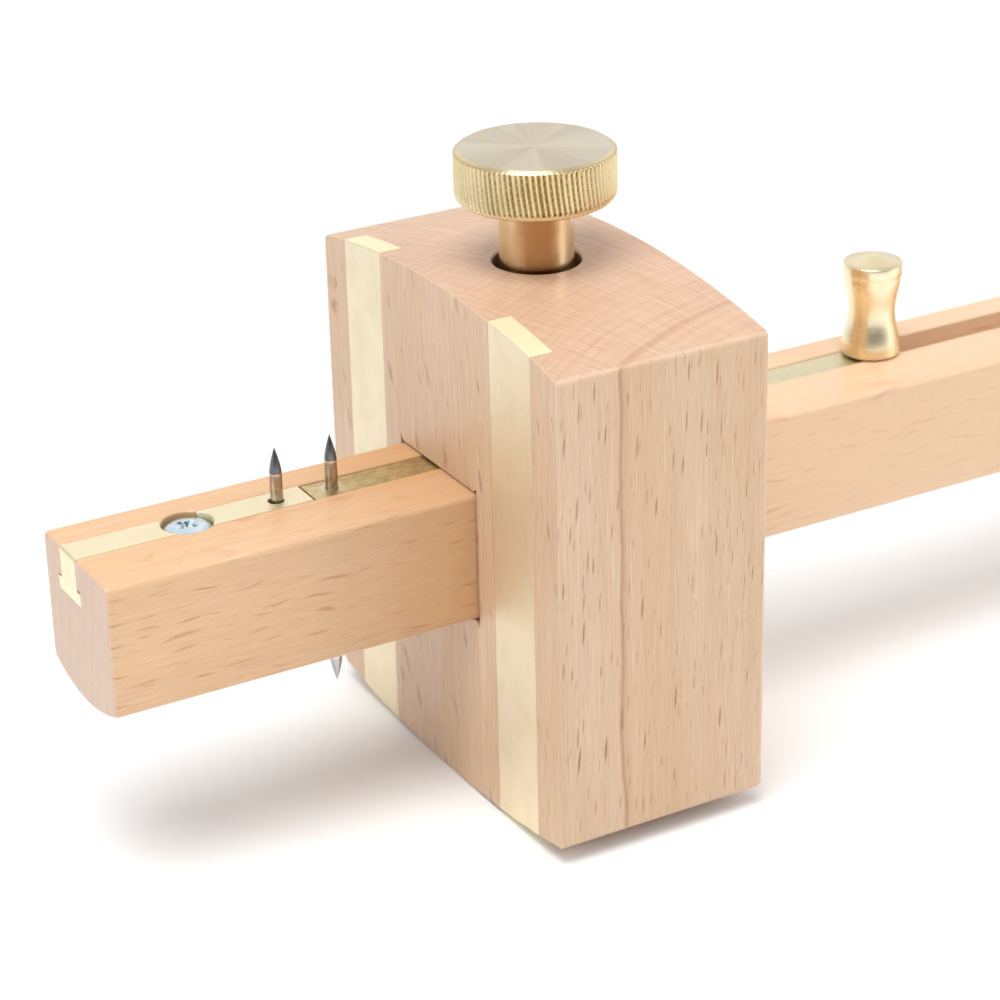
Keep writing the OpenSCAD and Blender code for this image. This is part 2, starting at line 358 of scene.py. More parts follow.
def flecks(grain, cell, half, share, seed):
    """Spindles scattered in (radial, tangential, along) space: a mask and a random tone."""
    spots = grain * tuple(1 / c for c in cell) + (seed, seed * 1.7, seed * 0.6)
    cells = add_node(grain.tree, "ShaderNodeTexVoronoi",
                     {"Vector": spots, "Scale": 1.0, "Randomness": 0.9},
                     voronoi_dimensions="3D", feature="F1")
    offset = spots - Field(grain.tree, cells.outputs["Position"])
    offset = offset * tuple(c / h for c, h in zip(cell, half))
    chance, size, tone = Field(grain.tree, cells.outputs["Color"]).split()
    mask = (offset.length() / (0.45 + size * 0.55)).fall(0.30, 1.0)
    return mask * chance.rise(1 - share, 1 - share + 0.02), tone


def paint_accent(look, fibre, at, core, soft, amount, tint):
    """One strong growth line at a given radius, fading in from its inner side."""
    waver = (look.grain * (0.0, 0.05, 0.09)).noise(detail=2.0, rough=0.5)
    offset = look.radius - (at + (waver - 0.5) * 0.5)
    wide = core + look.end * (core * 4.0)
    line = abs(offset).fall(0.04, wide)
    fade = offset.rise(-soft, 0.0, low=0.0, high=0.55) * offset.fall(0.0, wide)
    mark = line.math("MAXIMUM", fade) * (0.55 + fibre * 0.7)
    look.paint(tint, mark * (1.0 - look.end * 0.45) * amount)


def paint_knot(look, centre, size, amount):
    jitter = look.point.noise(scale=0.9, detail=3.0, rough=0.6, distortion=0.6, output="Color")
    offset = look.point + (jitter - (0.5, 0.5, 0.5)).scaled(2.4) - centre
    distance = (offset * tuple(1 / s for s in size)).length()
    look.paint(srgb(160, 100, 62), distance.fall(0.25, 1.0) * amount)


def paint_light_and_shade_band(look, fade_in, fade_out, amount, tint):
    """A band of painted light and shade along the board; the fades are (start, end) along its
    length.
    """
    mask = look.length.rise(*fade_in) * look.length.fall(*fade_out)
    look.paint(tint, mask * (1.0 - look.end * 0.8) * amount)


def paint_bore_shade(look, axis, radius, top, amount, tint):
    """Painted shade down a bore's wall, deepening below its rim."""
    inside = look.from_axis(axis).fall(radius + 0.05, radius + 0.22)
    look.paint(tint, inside * look.z.fall(top - 0.45, top - 0.2) * amount)


def beech(name, upright, pith, tan, pink, end_tint, ring_width, fleck_depths, fleck_tint,
          line_amount, edge_highlight, bore, end_lines=1.0, fleck_length=1.0, lean=0.0,
          wander=(0.35, 0.12), accent=None, knots=(), light_and_shade_bands=()):
    """Beech: rays, fibres and rings round a pith line, so each face shows its own cut."""
    look = Look(name, tan)
    lay_grain(look, upright, pith, wander, lean)
    grain, end = look.grain, look.end
    side = 1.0 - end

    # noises stretched as (radial, tangential, along)
    fibre = (grain * (2.6, 4.5, 0.10)).noise(detail=4.0, rough=0.65)
    hair = (grain * (5.5, 6.5, 0.13)).noise(detail=3.0, rough=0.6)
    pores = (grain * (9.0, 9.0, 0.9)).noise(detail=2.0, rough=0.6)
    tone = (grain * (0.10, 0.06, 0.012)).noise(detail=3.0, rough=0.55)
    look.paint(pink, tone.rise(0.30, 0.70))
    look.paint(end_tint, end * 0.75)

    # growth rings: a soft darker late wood, ended by a fine line
    drift = (grain * (0.20, 0.012, 0.004)).noise(detail=2.0, rough=0.6)
    phase = (look.radius / ring_width + drift * 2.4).math("FRACT")
    ring = phase.rise(0.35, 0.95) * phase.fall(0.96, 1.0)
    look.paint(srgb(168, 108, 74), ring * (0.05 + end * (0.07 * end_lines)))

    # on end grain the rays run across the rings as fine lines
    ray_end = (grain * (0.10, 2.6, 0.3)).noise(detail=3.0, rough=0.7)
    ring_end = (grain * (1.9, 0.05, 0.02)).noise(detail=2.0, rough=0.65)
    # where the mark shows, how strongly, its colour
    for mark, amount, tint in (
            (ray_end.rise(0.50, 0.66) * end, 0.20 * end_lines, srgb(160, 104, 72)),
            (ray_end.fall(0.34, 0.48) * end, 0.16 * end_lines, srgb(250, 226, 202)),
            (ring_end.rise(0.52, 0.66) * end, 0.13 * end_lines, srgb(164, 108, 76)),
            (fibre.rise(0.46, 0.76) * side, 0.26 * line_amount, srgb(190, 140, 104)),
            (fibre.fall(0.24, 0.46) * side, 0.30 * line_amount, srgb(250, 228, 206)),
            (hair.rise(0.60, 0.72) * side, 0.34 * line_amount, srgb(158, 108, 78)),
            (pores.rise(0.58, 0.78), 0.17, srgb(152, 104, 74)),
            (pores.fall(0.26, 0.42), 0.14, srgb(252, 232, 212))):
        look.paint(tint, mark * amount)

    # ray flecks in three sizes, strongest on faces square to the radius
    big, big_tone = flecks(look.stray_grain, cell=(9.0, 1.9, 6.2 * fleck_length),
                           half=(6.5, 0.23, 2.6 * fleck_length), share=0.70, seed=3.1)
    middle, middle_tone = flecks(look.stray_grain, cell=(6.0, 1.15, 4.2 * fleck_length),
                                 half=(4.4, 0.15, 1.7 * fleck_length), share=0.66, seed=8.7)
    small, small_tone = flecks(look.stray_grain, cell=(4.0, 0.55, 2.4),
                               half=(3.0, 0.065, 0.95), share=0.8, seed=5.3)
    shown = (1.0 - end * 0.85) * look.flat
    masks, tones = (big, middle, small), (big_tone, middle_tone, small_tone)
    for mask, fleck_tone, depth in zip(masks, tones, fleck_depths):
        look.paint(fleck_tint, mask * shown * ((0.5 + fleck_tone * 0.5) * depth))

    if accent:
        paint_accent(look, fibre, **accent)
    for knot in knots:
        paint_knot(look, **knot)
    # painted highlight: a pale tone along the rounded edges
    look.paint(srgb(246, 226, 208), look.edge * edge_highlight)
    # painted light and shade: tinted bands along the board
    for band in light_and_shade_bands:
        paint_light_and_shade_band(look, **band)
    # painted shade down the bore's wall
    paint_bore_shade(look, **bore)

    marks = big * 1.0 + middle * 0.6
    rough = 0.41 + (fibre - 0.5) * 0.16 + marks * 0.10
    height = fibre * 0.7 + pores * 0.35 - marks * 0.55
    wave = look.point.noise(scale=0.12, detail=2.0, rough=0.5)
    normal = wave.bump(distance=0.10, strength=0.35,
                       normal=height.bump(distance=0.03, strength=0.75))
    return look.finish(Roughness=rough.math("SUBTRACT", look.edge * 0.08, clamp=True),
                       Specular_IOR_Level=0.62, Normal=normal)


# --------------------------------------------------------------------- metal
# noise stretch that draws brush lines along an axis
BRUSHED = {"x": (0.10, 7.0, 7.0), "z": (7.0, 7.0, 0.10)}


def brass(name, base, dull, rough, relief, spots, brush=None, axis=None, spread=0.0, wear_and_light=None):
    """Brass, brushed along an axis or turned round one, with faint tarnish and a painted highlight
    on its edges.

    The relief scales the tool marks, the spread is the anisotropy of turned work, and the last
    argument is a function that adds the part's own marks and, for the slide and the thumbscrew,
    painted light and shade.
    """
    look = Look(name, base)
    look.base, look.dull, look.rough, look.spread = base, dull, rough, spread
    if brush:
        marks = look.point * BRUSHED[brush]
    else:
        look.centre_on(axis)
        across, depth = look.across, look.depth
        look.radius = (across * across + depth * depth).math("SQRT")
        marks = join(look.radius * 7.0, look.z * 7.0, look.angle * 0.35)
    lines = marks.noise(detail=4.0, rough=0.7)
    fine = marks.noise(scale=3.3, detail=2.0, rough=0.6)
    look.cloud = look.point.noise(scale=0.22, detail=4.0, rough=0.6)
    look.speck = look.point.noise(scale=2.6, detail=3.0, rough=0.7)
    edges = look.point.node("ShaderNodeNewGeometry", {}, "Pointiness")
    look.paint(dull, look.cloud.rise(0.40, 0.72, high=0.75))
    look.paint(dull, lines.rise(0.35, 0.75) * 0.28)
    look.paint(shade(dull, 0.42), look.speck.rise(0.66, 0.80) * (0.35 * spots))
    # painted highlight: a lighter copy of the brass on sharp convex edges
    look.paint(shade(base, 1.08), edges.rise(0.52, 0.60, high=0.4))
    if wear_and_light:
        wear_and_light(look)

    rough = look.rough + (lines - 0.5) * 0.16
    rough = rough.math("ADD", (look.cloud - 0.5) * 0.14, clamp=True)
    normal = (lines * 0.7 + fine * 0.3).bump(distance=0.012 * relief, strength=0.8)
    normal = look.cloud.bump(distance=0.03, strength=0.25, normal=normal)
    shine = {}
    if spread:
        # the shine spreads across the tool marks, which run round the axis
        around = join(look.depth, look.across * -1.0, 0.0)
        across_marks = look.normal.vector("CROSS_PRODUCT", around).vector("NORMALIZE")
        tangent = across_marks.node("ShaderNodeVectorTransform", {0: across_marks},
                                    vector_type="VECTOR", convert_from="OBJECT",
                                    convert_to="WORLD")
        shine = {"Anisotropic": look.spread, "Tangent": tangent}
    return look.finish(Metallic=1.0, Roughness=rough, Normal=normal, **shine)


def filed_ends(look):
    """Sawn and filed ends are brighter than the rubbed faces."""
    up = abs(look.normal.split()[2]).rise(0.55, 0.85)
    look.paint((0.97, 0.89, 0.63), up * 0.9)
    look.rough = look.rough + up * 0.14


def slide_wear_and_light(look):
    """Blotches that fade towards +X, a painted paler tone towards +X where the tail is better lit,
    and a pale halo round the moving pin.
    """
    far = look.point.split()[0].rise(0.0, 28.0)
    strength = 0.45
    mottle = strength - far * (strength * 0.75)
    # painted light: paler towards +X, where the tail lies in brighter light
    look.paint((0.84, 0.80, 0.60), far * 0.55)
    blot = (look.point * (0.7, 1.5, 1.5)).noise(detail=5.0, rough=0.75)
    look.paint(shade(look.dull, 0.62), blot.rise(0.46, 0.60) * mottle)
    look.paint(shade(look.base, 1.12), blot.fall(0.34, 0.44) * (mottle * 0.8))
    distance = look.from_axis(MOVING_PIN_AXIS) + (look.speck - 0.5) * 1.6
    look.paint((0.90, 0.82, 0.60), distance.fall(0.9, 2.3) * 0.55)


def thumb_wear_and_light(look):
    """Tarnish with painted shade in the knurl, a handled shank with a painted dark reflection on
    one side, and a greyer faced end with painted highlight spokes.
    """
    low, high, face, valley_depth = 43.4, 49.4, 49.6, 0.34      # heights, and the knurl's depth
    radius, z = look.radius, look.z
    band = z.rise(low, low + 0.3) * z.fall(high - 0.3, high)
    rim = band * radius.rise(THUMB_R - 1.2, THUMB_R - 0.8)
    valley = rim * radius.fall(THUMB_R - valley_depth, THUMB_R - valley_depth * 0.25)
    # tarnish in the knurl's valleys, deepened as painted shade
    look.paint(tuple(c * k for c, k in zip(look.dull, (0.40, 0.31, 0.21))), valley * 0.78)
    shank = radius.fall(5.6, 6.0) * z.fall(low - 0.6, low - 0.3)
    look.spread = (1.0 - rim) * look.spread - shank * 0.45
    look.rough = look.rough - shank * 0.08
    look.paint((0.82, 0.73, 0.52), shank * 0.75)
    # painted reflection: the shank's side towards -X -Y is painted dark brown, as if it mirrored
    # the shaded wood in front of it
    side = (look.across * -0.497 + look.depth * -0.868) / radius.math("MAXIMUM", 0.1)
    side = (side + (look.cloud - 0.5) * 0.22).rise(0.74, 0.96)
    look.paint((0.43, 0.25, 0.11), shank * side * 0.85)
    # the whole knurled band is darkened: tarnish, deepened as painted shade
    look.paint(shade(look.dull, 0.74), rim * 0.50)
    # the faced end is greyer, with painted highlight spokes like the sheen that turning marks
    # throw
    top = look.normal.split()[2].rise(0.85, 0.97) * z.rise(face - 0.6, face - 0.3)
    sine, cosine = look.angle.math("SINE"), look.angle.math("COSINE")
    highlight_spokes = join(sine * 1.5, cosine * 1.5, 0.0).noise(detail=2.0, rough=0.6)
    look.paint((0.60, 0.53, 0.40), top * 0.85)
    look.paint((0.84, 0.76, 0.60), top * highlight_spokes.rise(0.40, 0.62) * 0.38)


def steel(name, base, tint, rough, axis, tip=None, tip_sign=1, cone=(0.15, 0.16, 0.18)):
    """Ground steel or zinc plate: rings of the grinding wheel, and a cone's own tint.

    The tip is the height of the point, and its sign is +1 where it points up.
    """
    look = Look(name, base)
    look.centre_on(axis)
    lines = join(look.z * 14.0, look.angle * 0.5, 0.0).noise(detail=3.0, rough=0.7)
    cloud = look.point.noise(scale=1.1, detail=3.0, rough=0.6)
    look.paint(tint, cloud.rise(0.35, 0.70))
    if tip is not None:
        # the ground cone has its own tint, with a rubbed ring where it starts
        past_tip = (look.z - tip) * float(tip_sign)
        look.paint(cone, past_tip.rise(-3.50, -3.42))
        ring = past_tip.rise(-3.85, -3.55) * past_tip.fall(-3.50, -3.40)
        look.paint((0.85, 0.80, 0.76), ring * 0.55)
    look.paint((0.9, 0.88, 0.85), lines * 0.10)
    varied = lines.node("ShaderNodeMath", {0: rough, 1: (lines - 0.5) * 0.18},
                        operation="ADD", use_clamp=True)
    return look.finish(Metallic=1.0, Roughness=varied,
                       Normal=lines.bump(distance=0.01, strength=0.6))


# ----------------------------------------------------------------- materials
STOCK_BEECH = beech(
    "beech_upright", upright=True, pith=(45.0, -93.0), tan=srgb(208, 172, 134),
    pink=srgb(216, 184, 155), end_tint=srgb(208, 171, 143), ring_width=1.7,
    fleck_depths=(0.92, 0.62, 0.32), fleck_tint=srgb(150, 98, 60), line_amount=1.15,
    edge_highlight=0.2, lean=0.07,
    accent=dict(at=72.56, core=0.20, soft=0.75, amount=0.62, tint=srgb(170, 112, 76)),
    knots=(dict(centre=(0.0, 28.0, 22.5), size=(2.5, 1.1, 1.5), amount=0.6),
           dict(centre=(0.0, 27.2, 26.0), size=(2.5, 0.6, 1.6), amount=0.55)),
    # painted shade in the thumbscrew's hole
    bore=dict(axis=THUMB_AXIS, radius=THUMB_HOLE_R, top=34.9, amount=0.75,
              tint=srgb(92, 54, 30)))
STEM_BEECH = beech(
    "beech_along", upright=False, pith=(-120.0, -22.0), tan=srgb(220, 175, 126),
    pink=srgb(225, 184, 143), end_tint=srgb(209, 181, 163), ring_width=2.3,
    fleck_depths=(0.66, 0.55, 0.32), fleck_tint=srgb(186, 111, 72), line_amount=0.85,
    edge_highlight=0.12, end_lines=0.35, fleck_length=1.45, wander=(2.2, 0.10),
    # painted shade along the stem by the stock, then painted light over the tail
    light_and_shade_bands=(dict(fade_in=(-26.0, -1.0), fade_out=(6.0, 34.0), amount=0.40,
                tint=srgb(186, 132, 84)),
           dict(fade_in=(12.0, 36.0), fade_out=(400.0, 401.0), amount=0.40,
                tint=srgb(240, 214, 186))),
    # painted shade in the inlay screw's bore
    bore=dict(axis=INLAY_SCREW_AXIS, radius=HEAD_BORE_R, top=STEM_TOP, amount=0.6,
              tint=srgb(176, 132, 74)))

DULL_BRASS = (0.74, 0.58, 0.32)
STRIP_BRASS = brass("brass_strip", base=(0.89, 0.78, 0.59), dull=(0.83, 0.72, 0.51), rough=0.56,
                    relief=0.5, spots=0.1, brush="z", wear_and_light=filed_ends)
INLAY_BRASS = brass("brass_inlay", base=(0.95, 0.85, 0.61), dull=(0.90, 0.79, 0.54), rough=0.50,
                    relief=0.6, spots=0.2, brush="x")
SLIDE_BRASS = brass("brass_slide", base=(0.76, 0.62, 0.34), dull=(0.58, 0.45, 0.22), rough=0.40,
                    relief=0.9, spots=0.9, brush="x", wear_and_light=slide_wear_and_light)
THUMB_BRASS = brass("brass_thumbscrew", base=(0.88, 0.73, 0.45), dull=DULL_BRASS, rough=0.27,
                    relief=0.9, spots=0.3, axis=THUMB_AXIS, spread=0.8, wear_and_light=thumb_wear_and_light)
KNOB_BRASS = brass("brass_knob", base=(0.91, 0.79, 0.54), dull=(0.82, 0.68, 0.42), rough=0.29,
                   relief=0.5, spots=0.7, axis=KNOB_AXIS, spread=0.2)
INNER_BRASS = brass("brass_inner", base=DULL_BRASS, dull=(0.60, 0.46, 0.24), rough=0.42,
                    relief=1.0, spots=0.5, axis=THUMB_AXIS)

ZINC = steel("zinc_plate", base=(0.56, 0.68, 0.75), tint=(0.74, 0.82, 0.86), rough=0.27,
             axis=INLAY_SCREW_AXIS)
DARK_STEEL = dict(base=(0.44, 0.385, 0.34), tint=(0.33, 0.285, 0.25), rough=0.25, tip=16.9)
FIXED_STEEL = steel("pin_steel_fixed", axis=FIXED_PIN_AXIS, **DARK_STEEL)
MOVING_STEEL = steel("pin_steel_moving", axis=MOVING_PIN_AXIS, **DARK_STEEL)
MARKING_STEEL = steel("pin_steel_marking", base=(0.62, 0.61, 0.60), tint=(0.52, 0.51, 0.50),
                      rough=0.25, axis=MARKING_PIN_AXIS, tip=-16.4, tip_sign=-1,
                      cone=(0.50, 0.50, 0.51))


# ------------------------------------------------------------------ outlines
def arc_radius(half_width, sag):
    return (half_width * half_width + sag * sag) / (2 * sag)


def edge_stations(end, radius, sign):
    """(x, inset) pairs that round an edge where a solid ends; sign +1 at its -X end."""
    steps = 5
    angles = [math.pi / 2 * i / steps for i in range(steps + 1)]
    stations = [(end + sign * radius * (1 - math.cos(a)), radius * (1 - math.sin(a)))
                for a in angles]
    return stations if sign > 0 else stations[::-1]


def crown_outline(half_width, radius, crest, corner, inset, steps):
    """(y, z) over an arched top with rounded corners, from +Y to -Y."""
    corner_steps = 7
    centre = crest - radius
    corner_y = half_width - corner
    rise = math.sqrt((radius - corner) ** 2 - corner_y ** 2)
    turn = math.atan2(rise, corner_y)
    round_over = []
    for i in range(corner_steps + 1):
        angle = turn * i / corner_steps
        round_over.append((corner_y + (corner - inset) * math.cos(angle),
                           centre + rise + (corner - inset) * math.sin(angle)))
    arch = []
    for i in range(1, steps):
        angle = turn + (math.pi - 2 * turn) * i / steps
        arch.append(((radius - inset) * math.cos(angle),
                     centre + (radius - inset) * math.sin(angle)))
    return round_over + arch + [(-y, z) for y, z in round_over[::-1]]


# ----------------------------------------------------------------- the stock
stock_low, stock_high = mm_box("stock")
STOCK_HALF_W = stock_high.y
STOCK_TOP, STOCK_BOTTOM = stock_high.z, stock_low.z
STOCK_T = stock_high.x
TOP_R = arc_radius(STOCK_HALF_W, sag=3.0)
BOTTOM_R = arc_radius(STOCK_HALF_W, sag=2.6)

STRIP_W, STRIP_T, STRIP_Y = 10.0, 3.2, 19.0

STEM_HALF_W, STEM_BOTTOM = 9.75, -STEM_TOP
STEM_SAG = 2.2
STEM_R = arc_radius(STEM_HALF_W, STEM_SAG)
PLAY = 0.24                             # gap between the stem and its mortise


def stock_loop(x, inset):
    corner, steps = 1.0, 48
    top = crown_outline(STOCK_HALF_W, TOP_R, STOCK_TOP, corner, inset, steps)
    bottom = crown_outline(STOCK_HALF_W, BOTTOM_R, -STOCK_BOTTOM, corner, inset, steps)
    return [(x, y, z) for y, z in top + [(-y, -z) for y, z in bottom]]


def mortise_outline():
    """(y, z) round the stem's hole, with small notches at its corners."""
    side, top = STEM_HALF_W + PLAY, STEM_TOP + PLAY
    low = STEM_BOTTOM + STEM_SAG - PLAY
    # up the +Y side, over the notch at its top corner, and back along the top
    points = [
        (side, low + 0.6), (side, top - 0.2), (side + 0.03, top + 1.15),
        (side - 0.22, top + 0.62), (side - 0.42, top + 0.30), (side - 0.72, top + 0.10),
        (side - 1.0, top),
        (-side + 0.9, top), (-side + 0.55, top + 0.12), (-side + 0.3, top + 0.32),
        (-side, top + 0.8), (-side, top - 0.2),
        # down the -Y side and round its bottom corner
        (-side, low + 0.6), (-side - 0.02, low - 1.15), (-side + 0.30, low - 0.95),
        (-side + 0.42, low - 0.70), (-side + 0.78, low - 0.52)]
    # the hollow floor follows the stem's round underside
    centre, radius, steps = STEM_BOTTOM + STEM_R, STEM_R + PLAY, 12
    reach = math.asin((side - 1.0) / radius)
    for i in range(2 * steps + 1):
        angle = reach * (i / steps - 1)
        points.append((radius * math.sin(angle), centre - radius * math.cos(angle)))
    return points + [(side - 0.5, low - 0.5), (side - 0.2, low - 0.75), (side, low - 0.9)]


def build_stock():
    stations = edge_stations(0.0, 0.30, 1) + edge_stations(STOCK_T, 0.75, -1)
    stock = loft("stock_block", [stock_loop(x, inset) for x, inset in stations])
    holes = [prism_x("c_mortise", mortise_outline(), -2, STOCK_T + 2)]
    low, high = STOCK_BOTTOM - 2, STOCK_TOP + 2
    for side in (-1, 1):
        y0, y1 = side * STRIP_Y - STRIP_W / 2, side * STRIP_Y + STRIP_W / 2
        groove = [(y0, low), (y1, low), (y1, high), (y0, high)]
        holes.append(prism_x("c_groove", groove, -2, STRIP_T))
    wall = [(THUMB_HOLE_R, 5.0), (THUMB_HOLE_R, STOCK_TOP - 0.42),
            (THUMB_HOLE_R + 0.10, STOCK_TOP - 0.20), (THUMB_HOLE_R + 0.32, STOCK_TOP),
            (THUMB_HOLE_R + 0.9, STOCK_TOP + 0.6), (THUMB_HOLE_R + 0.9, high)]
    holes.append(drill("c_screw_hole", wall, 128, THUMB_AXIS))
    cut(stock, *holes)
    finish_part(stock, STOCK_BEECH, "stock_body", "stock")


def strip_loop(x, middle, side_inset, inset):
    """A strip's outline, with ends that follow the stock's top and bottom."""
    steps = 14
    y0, y1 = middle - STRIP_W / 2 + side_inset, middle + STRIP_W / 2 - side_inset
    top, bottom = [], []
    for i in range(steps + 1):
        y = y0 + (y1 - y0) * i / steps
        top.append((x, y, STOCK_TOP - TOP_R + math.sqrt((TOP_R - inset) ** 2 - y * y)))
        y = y1 + (y0 - y1) * i / steps
        drop = math.sqrt((BOTTOM_R - inset) ** 2 - y * y)
        bottom.append((x, y, STOCK_BOTTOM + BOTTOM_R - drop))
    return top + bottom


def build_strip(name, node, middle):
    edge, fit = 0.20, 0.04
    loops = [strip_loop(x, middle, fit + 0.05 * (inset / edge) ** 2, inset)
             for x, inset in edge_stations(0.0, edge, 1)]
    loops.append(strip_loop(STRIP_T - 0.02, middle, fit, 0.0))
    finish_part(loft(name, loops), STRIP_BRASS, "stock_body", node)


build_stock()
build_strip("strip_near", "wear_strip_near", -STRIP_Y)
build_strip("strip_far", "wear_strip_far", STRIP_Y)

# ------------------------------------------------------------------ the stem
CHANNEL_HALF_W, CHANNEL_FOOT_HALF_W = 2.45, 3.4
CHANNEL_FLOOR, CHANNEL_SHOULDER = 3.7, 5.7
HEAD_BORE_FLOOR = 7.2


def stem_loop(x, inset):
    """Flat top with a tee-shaped channel, rounded corners and an arched underside."""
    corner, corner_steps, lip = 0.8, 7, 0.13
    top = STEM_TOP - inset
    left, right = SLIDE_Y - CHANNEL_HALF_W, SLIDE_Y + CHANNEL_HALF_W
    foot_left, foot_right = SLIDE_Y - CHANNEL_FOOT_HALF_W, SLIDE_Y + CHANNEL_FOOT_HALF_W
    round_over = []
    for i in range(corner_steps + 1):
        angle = math.pi / 2 * (1 - i / corner_steps)
        round_over.append((STEM_HALF_W - corner + (corner - inset) * math.cos(angle),
                           STEM_TOP - corner + (corner - inset) * math.sin(angle)))
    under = crown_outline(STEM_HALF_W, STEM_R, -STEM_BOTTOM, 0.9, inset, 40)
    points = [(right + lip, top)] + round_over
    points += [(y, -z) for y, z in under]
    points += [(-y, z) for y, z in round_over[::-1]]
    points += [(left - lip, top), (left, top - lip), (left, CHANNEL_SHOULDER),
               (foot_left, CHANNEL_SHOULDER), (foot_left, CHANNEL_FLOOR),
               (foot_right, CHANNEL_FLOOR), (foot_right, CHANNEL_SHOULDER),
               (right, CHANNEL_SHOULDER), (right, top - lip)]
    return [(x, y, z) for y, z in points]


def build_stem():
    low, high = mm_box("stem")
    stations = edge_stations(low.x, 0.5, 1) + edge_stations(high.x, 0.7, -1)
    stem = loft("stem_bar", [stem_loop(x, inset) for x, inset in stations])
    bore = [(HEAD_BORE_R, HEAD_BORE_FLOOR), (HEAD_BORE_R, STEM_TOP - 0.10),
            (3.42, STEM_TOP + 0.02), (3.9, STEM_TOP + 0.5), (3.9, STEM_TOP + 2)]
    marking = [(1.35, -12.0), (1.35, -9.75), (0.86, -9.35), (0.81, -9.2), (0.81, -0.2)]
    cut(stem, drill("c_bore", bore, 96, INLAY_SCREW_AXIS),
        drill("c_thread_hole", [(1.52, -5.0), (1.52, 8.0)], 48, INLAY_SCREW_AXIS),
        drill("c_fixed", [(0.81, 0.05), (0.81, 4.2)], 48, FIXED_PIN_AXIS),
        drill("c_marking", marking, 48, MARKING_PIN_AXIS))
    finish_part(stem, STEM_BEECH, "stem_body", "stem")


def tee_loop(x, top, drop, side_inset, chamfer, nick=0.0):
    """A brass tee in the channel; the drop lowers its top, the nick trims its +Y side."""
    half_width, foot_half_width = 2.4, 3.35
    foot_low, foot_top = CHANNEL_FLOOR + 0.01, CHANNEL_FLOOR + 1.71
    top = top - drop
    left = SLIDE_Y - half_width + side_inset
    right = SLIDE_Y + half_width - side_inset - nick
    foot_left = SLIDE_Y - foot_half_width + side_inset
    foot_right = SLIDE_Y + foot_half_width - side_inset
    points = [(right, top - chamfer), (right - chamfer * 0.3, top - chamfer * 0.3),
              (right - chamfer, top), (left + chamfer, top),
              (left + chamfer * 0.3, top - chamfer * 0.3), (left, top - chamfer),
              (left, foot_top), (foot_left, foot_top), (foot_left, foot_low),
              (foot_right, foot_low), (foot_right, foot_top), (right, foot_top)]
    return [(x, y, z) for y, z in points]


def build_inlay():
    low, high = mm_box("end_inlay")
    chamfer, pitch = 0.06, 0.55
    loops = [tee_loop(x, STEM_TOP, inset, 0.0, chamfer)
             for x, inset in edge_stations(low.x, 0.5, 1)]
    # the +Y side wavers a little along the seam
    for i in range(int((high.x - low.x - 1.5) / pitch)):
        nick = draws.choice((-0.02, 0.0, 0.03, 0.07, 0.10))
        loops.append(tee_loop(low.x + 0.9 + i * pitch, STEM_TOP, 0.0, 0.0, chamfer, nick))
    loops += [tee_loop(high.x - 0.10, STEM_TOP, 0.0, 0.0, chamfer),
              tee_loop(high.x, STEM_TOP, 0.10, 0.05, chamfer)]
    inlay = loft("end_inlay_tee", loops)
    bore = [(HEAD_BORE_R, HEAD_BORE_FLOOR), (HEAD_BORE_R, STEM_TOP - 0.12),
            (3.45, STEM_TOP + 0.05), (3.45, STEM_TOP + 2)]
    pin_hole = [(0.82, 2.0), (0.82, STEM_TOP - 0.9), (1.0, STEM_TOP - 0.7),
                (1.02, STEM_TOP - 0.15), (1.08, STEM_TOP + 0.05), (1.08, STEM_TOP + 1)]
    # the pin's hole is drilled a little off the pin's axis
    pin_hole_axis = (FIXED_PIN_AXIS[0] - 0.20, FIXED_PIN_AXIS[1] - 0.10)
    cut(inlay, drill("c_bore", bore, 96, INLAY_SCREW_AXIS),
        drill("c_clear", [(1.65, 2.0), (1.65, 8.0)], 48, INLAY_SCREW_AXIS),
        drill("c_pin", pin_hole, 64, pin_hole_axis))
    finish_part(inlay, INLAY_BRASS, "stem_body", "end_inlay")


def build_slide_bar():
    low, high = mm_box("slide_bar")
    top = high.z
    # x, drop of the top, inset of the sides
    stations = [(low.x, 0.14, 0.10), (low.x + 0.05, 0.05, 0.03), (low.x + 0.15, 0.0, 0.0),
                (high.x - 0.3, 0.0, 0.0), (high.x, 0.3, 0.15)]
    bar = loft("slide_bar_tee", [tee_loop(x, top, drop, side_inset, 0.20)
                                 for x, drop, side_inset in stations])
    pin_hole = [(0.81, 4.2), (0.81, top - 0.10), (0.90, top - 0.01), (0.95, top + 0.03),
                (0.95, top + 1)]
    knob_hole = [(1.77, 2.0), (1.77, top - 0.15), (2.0, top + 0.1), (2.0, top + 1)]
    cut(bar, drill("c_pin", pin_hole, 64, MOVING_PIN_AXIS),
        drill("c_knob", knob_hole, 64, KNOB_AXIS))
    finish_part(bar, SLIDE_BRASS, "slide_body", "slide_bar")


build_stem()
build_inlay()
build_slide_bar()


# ------------------------------------------------------ pins and inlay screw
def pin_profile(foot, top):
    """A pin that points up, with a slightly convex ground cone."""
    r, tip, steps = 0.8, 3.45, 15
    base = top - tip
    profile = [(0, foot), (r - 0.12, foot), (r, foot + 0.12), (r, base - 0.9), (r, base - 0.12),
               (r - 0.015, base)]
    for i in range(1, steps):
        t = i / steps
        profile.append((r * (1 - t ** 1.45) * 0.985 + 0.012 * (1 - t), base + tip * t))
    return profile + [(0, top)]


def build_pin(node, material, axis, body, points_up=True):
    low, high = mm_box(node)
    if points_up:
        profile = pin_profile(low.z, high.z)
    else:
        profile = [(r, -z) for r, z in pin_profile(-high.z, -low.z)][::-1]
    pin = lathe(node + "_ground", profile, 64, axis)
    finish_part(pin, material, body, node, angle=40)


def ridges(root, crest, start, pitch, count, offsets):
    """Thread ridges as (r, z); the offsets are the heights of root, crest, crest, root."""
    return [(r, start + i * pitch + offset) for i in range(count)
            for r, offset in zip((root, crest, crest, root), offsets)]


